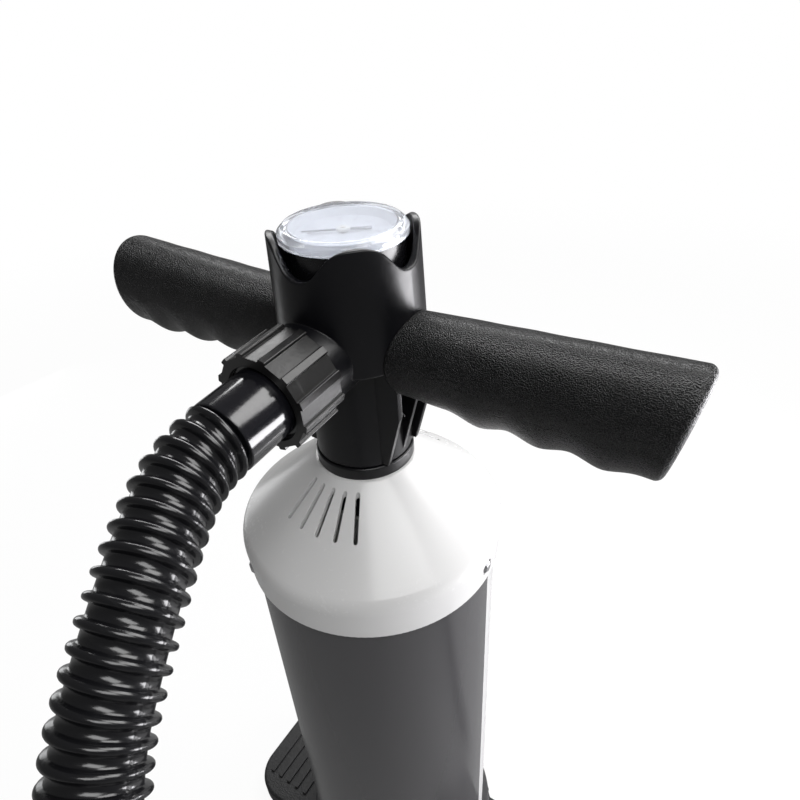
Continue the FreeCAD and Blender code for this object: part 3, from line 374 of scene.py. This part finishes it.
def lensPlastic():
    look = lensLook
    material, tree, shader, spot = newMaterial("lens_clear")
    shader.inputs["Base Color"].default_value = (*look["color"], 1)
    shader.inputs["Roughness"].default_value = look["roughness"]
    shader.inputs["IOR"].default_value = look["ior"]
    shader.inputs["Transmission Weight"].default_value = look["transmission"]
    ripple = noiseNode(tree, spot, look["rippleScale"])
    addBumps(tree, shader, look["edge"], [(ripple.outputs["Fac"], look["rippleHeight"])])
    return material


materials = {}


def materialFor(slot):
    # each material is made when a piece first asks for it
    if slot not in materials:
        materials[slot] = lensPlastic() if slot == "lens_clear" else mouldedPlastic(slot)
    return materials[slot]


def newObject(name, mesh, body, slot):
    item = bpy.data.objects.new(name, mesh)
    bpy.context.scene.collection.objects.link(item)
    for polygon in mesh.polygons:
        polygon.use_smooth = True
    mesh.materials.append(materialFor(slot))
    if body:
        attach(item, body)
    return item


hoseLook = {
    # middle line from the cuff to the loose end, in metres
    "route": [
        (0, -0.0808, 0.46785), (0, -0.0922, 0.46705), (0.0045, -0.1098, 0.4624),
        (0.0179, -0.1394, 0.4493), (0.0289, -0.1725, 0.4209), (0.0526, -0.1947, 0.3891),
        (0.0772, -0.2028, 0.3471), (0.092, -0.212, 0.282), (0.106, -0.232, 0.204),
        (0.132, -0.251, 0.128), (0.186, -0.269, 0.06), (0.272, -0.276, 0.021),
        (0.362, -0.233, 0.0158), (0.408, -0.143, 0.0158), (0.39, -0.04, 0.0158),
        (0.316, 0.033, 0.0158), (0.213, 0.052, 0.0158)],
    "routeOrder": 3, "routeSteps": 24,
    "ridgeRadius": 0.0152, "rootRadius": 0.0127, "pitch": 0.0067, "around": 48, "shift": -0.0002,
    # one pitch from crest to crest: share of the pitch, share of the ridge's height
    "profile": [(0.0, 1.0), (0.085, 0.95), (0.155, 0.8), (0.205, 0.52), (0.235, 0.18), (0.265, 0.0),
                (0.5, 0.0), (0.735, 0.0), (0.765, 0.18), (0.795, 0.52), (0.845, 0.8), (0.915, 0.95)],
    "spareTurns": 3, "endEase": 0.0006, "weld": 1e-6,
    # the mould seam: its turn round the hose, width, height and how far it wanders
    "seamTurn": 0.47, "seamWidth": 0.012, "seamHeight": 0.0004, "seamWander": 0.02,
    "seamWanderScale": 160.0,
    # the stretch over which the hose passes from the handle to the floor
    "blendStart": (0, -0.16, 0.44), "blendEnd": (0.3, -0.2, 0.05),
}


def hoseSeam(tree):
    # from the hose's own map: u runs round the hose, v counts the ridges
    look = hoseLook
    split = addNode(tree, "ShaderNodeSeparateXYZ")
    hoseMap = addNode(tree, "ShaderNodeUVMap", uv_map="hoseMap")
    tree.links.new(hoseMap.outputs[0], split.inputs[0])
    spot = addNode(tree, "ShaderNodeTexCoord").outputs["Object"]
    wander = noiseNode(tree, spot, look["seamWanderScale"])
    centred = mathNode(tree, "SUBTRACT", wander.outputs["Fac"], noiseMiddle)
    drift = mathNode(tree, "MULTIPLY", centred, look["seamWander"])
    shifted = mathNode(tree, "ADD", split.outputs["X"], drift)
    near = mathNode(tree, "ABSOLUTE", mathNode(tree, "SUBTRACT", shifted, look["seamTurn"]))
    share = mathNode(tree, "DIVIDE", near, look["seamWidth"])
    peak = mathNode(tree, "SUBTRACT", 1.0, share, clamp=True)
    return mathNode(tree, "MULTIPLY", peak, wander.outputs["Fac"])


def smoothRoute(name, points):
    # the points' NURBS line, as places close together
    curve = bpy.data.curves.new(name, "CURVE")
    curve.dimensions = "3D"
    spline = curve.splines.new("NURBS")
    spline.points.add(len(points) - 1)
    for point, place in zip(spline.points, points):
        point.co = (*place, 1)
    spline.order_u = hoseLook["routeOrder"]
    spline.use_endpoint_u = True
    spline.resolution_u = hoseLook["routeSteps"]
    line = bpy.data.objects.new(name, curve)
    mesh = bpy.data.meshes.new_from_object(line)
    places = np.array([vertex.co[:] for vertex in mesh.vertices])
    bpy.data.objects.remove(line)
    bpy.data.meshes.remove(mesh)
    return places


class Line:
    # a line measured by its length, with directions that don't twist
    def __init__(self, places):
        self.along = np.r_[0, np.cumsum(np.linalg.norm(np.diff(places, axis=0), axis=1))]
        self.length = self.along[-1]
        ahead = np.gradient(places, self.along, axis=0)
        ahead /= np.linalg.norm(ahead, axis=1)[:, None]
        side = np.cross(ahead[0], (0, 0, 1))
        sides = []
        for direction in ahead:
            side = side - direction * side.dot(direction)
            side /= np.linalg.norm(side)
            sides.append(side)
        self.parts = [places, np.array(sides), np.cross(sides, ahead)]

    def at(self, along):
        # places, sides and tops at these lengths
        return [np.stack([np.interp(along, self.along, part[:, axis]) for axis in range(3)],
                         axis=-1) for part in self.parts]


def hoseGrid(line):
    # rings of points along the hose, and how many ridges lie before each point
    look = hoseLook
    shares, heights = (np.array(column) for column in zip(*look["profile"]))
    turns = int(line.length / look["pitch"]) + look["spareTurns"]
    steps = (np.arange(turns)[:, None] + shares[None, :]).ravel() - 1
    turn = np.arange(look["around"]) / look["around"]
    # every ring climbs one pitch in a full turn, so the grid follows the ridges
    along = (steps[:, None] + turn[None, :]) * look["pitch"] + look["shift"]
    clipped = np.clip(along, 0, line.length)
    ease = np.clip(np.minimum(clipped, line.length - clipped) / look["endEase"], 0, 1)
    rise = np.tile(heights, turns)[:, None] * ease
    radius = look["rootRadius"] + (look["ridgeRadius"] - look["rootRadius"]) * rise
    spots, sides, tops = line.at(clipped)
    angle = turn * 2 * np.pi
    rings = spots + radius[..., None] * (np.cos(angle)[None, :, None] * sides
                                         + np.sin(angle)[None, :, None] * tops)
    return rings, along / look["pitch"]


def hoseFaces(count):
    # faces within the grid, and those that join a ring's end to the start one pitch on
    around, perPitch = hoseLook["around"], len(hoseLook["profile"])
    index = np.arange(count * around).reshape(count, around)
    quads = np.stack([index[:-1, :-1], index[:-1, 1:], index[1:, 1:], index[1:, :-1]], axis=-1)
    last, first = index[:, -1], index[:, 0]
    joint = np.stack([last[:-perPitch - 1], first[perPitch:-1], first[perPitch + 1:],
                      last[1:-perPitch]], axis=-1)
    return quads.reshape(-1, 4).tolist(), joint.tolist()


def mapHose(mesh, ridgeCount, plainFaces):
    # the joint's faces end at a full turn instead of falling back to zero
    around = hoseLook["around"]
    layer = mesh.uv_layers.new(name="hoseMap")
    for polygon in mesh.polygons:
        for loop in polygon.loop_indices:
            vertex = mesh.loops[loop].vertex_index
            share = vertex % around / around
            if polygon.index >= plainFaces and share == 0:
                share = 1.0
            layer.data[loop].uv = (share, ridgeCount[vertex])


def closeHose(mesh):
    # weld the points that the ends press together, cap both ends, face outwards
    clean = bmesh.new()
    clean.from_mesh(mesh)
    bmesh.ops.remove_doubles(clean, verts=clean.verts, dist=hoseLook["weld"])
    rim = [edge for edge in clean.edges if edge.is_boundary]
    bmesh.ops.holes_fill(clean, edges=rim, sides=0)
    bmesh.ops.recalc_face_normals(clean, faces=clean.faces)
    clean.to_mesh(mesh)
    clean.free()


def makeHose():
    look = hoseLook
    places = smoothRoute("hose_line", look["route"])
    line = Line(places)
    rings, ridgeCount = hoseGrid(line)
    quads, joint = hoseFaces(len(rings))
    mesh = bpy.data.meshes.new("hose")
    mesh.from_pydata(rings.reshape(-1, 3).tolist(), [], quads + joint)
    mapHose(mesh, ridgeCount.ravel(), len(quads))
    closeHose(mesh)
    hose = newObject("hose", mesh, None, "hose_black")
    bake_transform(hose)
    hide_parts("hose_tube")
    print("hose made:", round(float(line.length), 3), "m,", len(mesh.polygons), "faces")


makeHose()

# the pin through the column is blackened, so it needs a look of its own
ownLooks = {"rod_top_pin": "pin_black"}
for name, item in nodes.items():
    item.data.materials.clear()
    item.data.materials.append(materialFor(ownLooks.get(name, nodeSlots[name])))
print("materials given:", len(materials))

# angles in degrees, lengths in metres; surface is the dial's height and lift the ink's above it
dialLook = {"zeroAngle": 215, "sweep": 270, "majors": 10, "minorsPerMajor": 5, "ringRadius": 0.0187,
            "majorLength": 0.003, "minorLength": 0.0016, "majorWidth": 0.0004, "minorWidth": 0.0002,
            "numberRadius": 0.0137, "numberSize": 0.0028, "numberDepth": 0.00002, "step": 2,
            "surface": 0.515, "lift": 0.00006, "ink": (0.42, 0.42, 0.43),
            "wornInk": (0.5, 0.5, 0.51), "wearScale": 900.0, "inkRoughness": 0.5}


def inkMaterial():
    look = dialLook
    material, tree, shader, spot = newMaterial("dial_ink")
    wear = noiseNode(tree, spot, look["wearScale"])
    color = mixColors(tree, wear.outputs["Fac"], look["ink"], look["wornInk"])
    tree.links.new(color, shader.inputs["Base Color"])
    shader.inputs["Roughness"].default_value = look["inkRoughness"]
    return material


def makeTicks(ink, top):
    look = dialLook
    mesh = bmesh.new()
    count = look["majors"] * look["minorsPerMajor"]
    for number in range(count + 1):
        angle = math.radians(look["zeroAngle"] - look["sweep"] * number / count)
        major = number % look["minorsPerMajor"] == 0
        half = (look["majorWidth"] if major else look["minorWidth"]) / 2
        outer = look["ringRadius"]
        inner = outer - (look["majorLength"] if major else look["minorLength"])
        outward = Vector((math.cos(angle), math.sin(angle), 0))
        across = Vector((-math.sin(angle), math.cos(angle), 0))
        corners = [outward * reach + across * side * half
                   for reach, side in ((inner, -1), (outer, -1), (outer, 1), (inner, 1))]
        mesh.faces.new([mesh.verts.new((corner.x, corner.y, top)) for corner in corners])
    marks = bpy.data.meshes.new("dial_marks")
    mesh.to_mesh(marks)
    mesh.free()
    item = newObject("dial_marks", marks, bodyOf["gauge_dial"], "needle_dark")
    item.data.materials[0] = ink


def makeNumbers(ink, top):
    # all the numbers stand upright to a reader who sees the middle of the scale on top
    look = dialLook
    facing = math.radians(look["zeroAngle"] - look["sweep"] / 2 - 90)
    reach = look["numberRadius"]
    for number in range(look["majors"] + 1):
        angle = math.radians(look["zeroAngle"] - look["sweep"] * number / look["majors"])
        text = bpy.data.curves.new(f"dial_number_{number}", "FONT")
        text.body = str(number * look["step"])
        text.size = look["numberSize"]
        text.align_x, text.align_y = "CENTER", "CENTER"
        text.extrude = look["numberDepth"]
        label = bpy.data.objects.new(f"dial_number_{number}", text)
        bpy.context.scene.collection.objects.link(label)
        label.location = (reach * math.cos(angle), reach * math.sin(angle), top)
        label.rotation_euler = (0, 0, facing)
        text.materials.append(ink)
        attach(label, bodyOf["gauge_dial"])


dialInk = inkMaterial()
inkHeight = dialLook["surface"] + dialLook["lift"]
makeTicks(dialInk, inkHeight)
makeNumbers(dialInk, inkHeight)
print("dial marked")

roomLook = {
    "floorSize": 14, "floorHeight": -0.0002, "floorColor": 0.86, "floorRoughness": 0.7,
    # how white the camera sees the floor near the pump and far off, and where that changes
    "nearGlow": 0.93, "farGlow": 1.0, "fadeFrom": 0.5, "fadeTo": 1.8,
    # how much of the white and which floor colour shiny pieces see, and the world's own light
    "shine": 0.12, "shineColor": 0.16, "worldLight": 0.12,
    # lamp: compass and height angle from the aim in degrees, distance, size, watts, colour
    "lamps": {
        "key_softbox": (-30, 52, 1.1, (0.85, 0.6), 8.5, (1.0, 1.0, 1.0)),
        "rear_softbox": (50, 46, 1.1, (0.75, 0.7), 9.8, (1.0, 0.995, 0.99)),
        "back_softbox": (113, 34, 1.1, (1.35, 0.32), 11.0, (1.0, 1.0, 1.0)),
        "low_card": (34, -20, 0.75, (0.6, 0.28), 7.4, (0.98, 0.97, 1.0)),
        "floor_card": (48, -47, 0.75, (0.42, 0.22), 1.2, (0.97, 0.97, 1.0)),
        "left_fill": (172, -20, 1.1, (0.36, 0.45), 0.95, (0.98, 0.99, 1.0)),
    },
    "aim": (0, 0, 0.47),
}


def whiteToCamera(tree, surface, glow):
    # a white that only the camera and clear or shiny pieces see
    path = addNode(tree, "ShaderNodeLightPath")
    shine = mathNode(tree, "MULTIPLY", path.outputs["Is Glossy Ray"], roomLook["shine"])
    clear = mathNode(tree, "MAXIMUM", shine, path.outputs["Is Transmission Ray"])
    seen = mathNode(tree, "MAXIMUM", path.outputs["Is Camera Ray"], clear)
    white = addNode(tree, "ShaderNodeEmission")
    mix = addNode(tree, "ShaderNodeMixShader")
    tree.links.new(mathNode(tree, "MULTIPLY", seen, glow), mix.inputs[0])
    tree.links.new(surface, mix.inputs[1])
    tree.links.new(white.outputs[0], mix.inputs[2])
    return mix.outputs[0]


def makeFloor():
    look = roomLook
    bpy.ops.mesh.primitive_plane_add(size=look["floorSize"], location=(0, 0, look["floorHeight"]))
    floor = bpy.context.object
    floor.name = "floor"
    material, tree, shader, spot = newMaterial("floor_white")
    shader.inputs["Roughness"].default_value = look["floorRoughness"]
    # shiny pieces see a greyer floor
    path = addNode(tree, "ShaderNodeLightPath")
    darker = look["floorColor"] - look["shineColor"]
    loss = mathNode(tree, "MULTIPLY", path.outputs["Is Glossy Ray"], darker)
    color = mathNode(tree, "SUBTRACT", look["floorColor"], loss)
    tree.links.new(color, shader.inputs["Base Color"])
    away = addNode(tree, "ShaderNodeVectorMath", operation="LENGTH")
    tree.links.new(spot, away.inputs[0])
    fade = addNode(tree, "ShaderNodeMapRange", interpolation_type="SMOOTHSTEP")
    for label, value in (("From Min", look["fadeFrom"]), ("From Max", look["fadeTo"]),
                         ("To Min", look["nearGlow"]), ("To Max", look["farGlow"])):
        fade.inputs[label].default_value = value
    tree.links.new(away.outputs["Value"], fade.inputs["Value"])
    output = next(node for node in tree.nodes if node.type == "OUTPUT_MATERIAL")
    tree.links.new(whiteToCamera(tree, shader.outputs[0], fade.outputs["Result"]),
                   output.inputs["Surface"])
    floor.data.materials.append(material)


def makeWorld():
    # white to the camera and through clear pieces, a weak light to everything else
    world = bpy.data.worlds.new("studio")
    bpy.context.scene.world = world
    world.use_nodes = True
    tree = world.node_tree
    background = tree.nodes["Background"]
    background.inputs["Color"].default_value = (1, 1, 1, 1)
    path = addNode(tree, "ShaderNodeLightPath")
    seen = mathNode(tree, "MAXIMUM", path.outputs["Is Camera Ray"],
                    path.outputs["Is Transmission Ray"])
    light = roomLook["worldLight"]
    strength = mathNode(tree, "ADD", mathNode(tree, "MULTIPLY", seen, 1 - light), light)
    tree.links.new(strength, background.inputs["Strength"])


def makeLamps():
    aim = Vector(roomLook["aim"])
    for name, (compass, height, distance, size, watts, color) in roomLook["lamps"].items():
        lamp = bpy.data.lights.new(name, "AREA")
        lamp.shape = "RECTANGLE"
        lamp.size, lamp.size_y = size
        lamp.energy = watts
        lamp.color = color
        item = bpy.data.objects.new(name, lamp)
        turn, rise = math.radians(compass), math.radians(height)
        outward = Vector((math.cos(turn) * math.cos(rise), math.sin(turn) * math.cos(rise),
                          math.sin(rise)))
        item.location = aim + outward * distance
        item.rotation_euler = (-outward).to_track_quat("-Z", "Y").to_euler()
        bpy.context.scene.collection.objects.link(item)


makeFloor()
makeWorld()
makeLamps()
bpy.context.scene.view_settings.view_transform = "Standard"
print("room ready")
